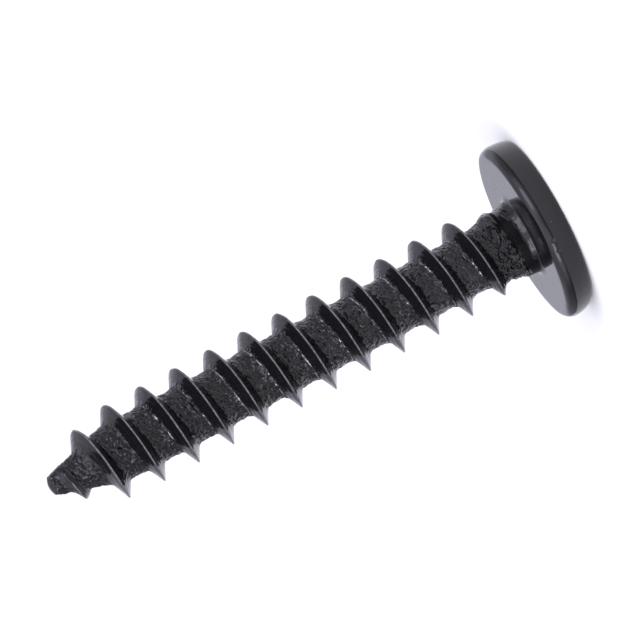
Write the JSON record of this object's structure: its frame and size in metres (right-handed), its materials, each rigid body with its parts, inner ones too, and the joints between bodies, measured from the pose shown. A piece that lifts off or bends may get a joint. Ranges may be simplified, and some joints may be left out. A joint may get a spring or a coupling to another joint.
{
  "type": "self-tapping screw",
  "caption": "Coarse-thread self-tapping screw with a thin, flat disc head, a rounded rim, a cross recess and a blunt tapered point.",
  "frame": {"origin": "middle of the driven face, the flat end of the head with the cross recess, on which the screw stands", "axes": "+Z along the shank from the head to the point; -Y is the front, the side that the picture shows; the recess wings lie along X and Y"},
  "size_m": [0.0084, 0.0084, 0.0251],
  "materials": {
    "black_steel": "glossy black coating on rolled steel, bare and worn along the thread crests"
  },
  "bodies": {
    "root": {"screw": "black_steel"}
  },
  "joints": []
}
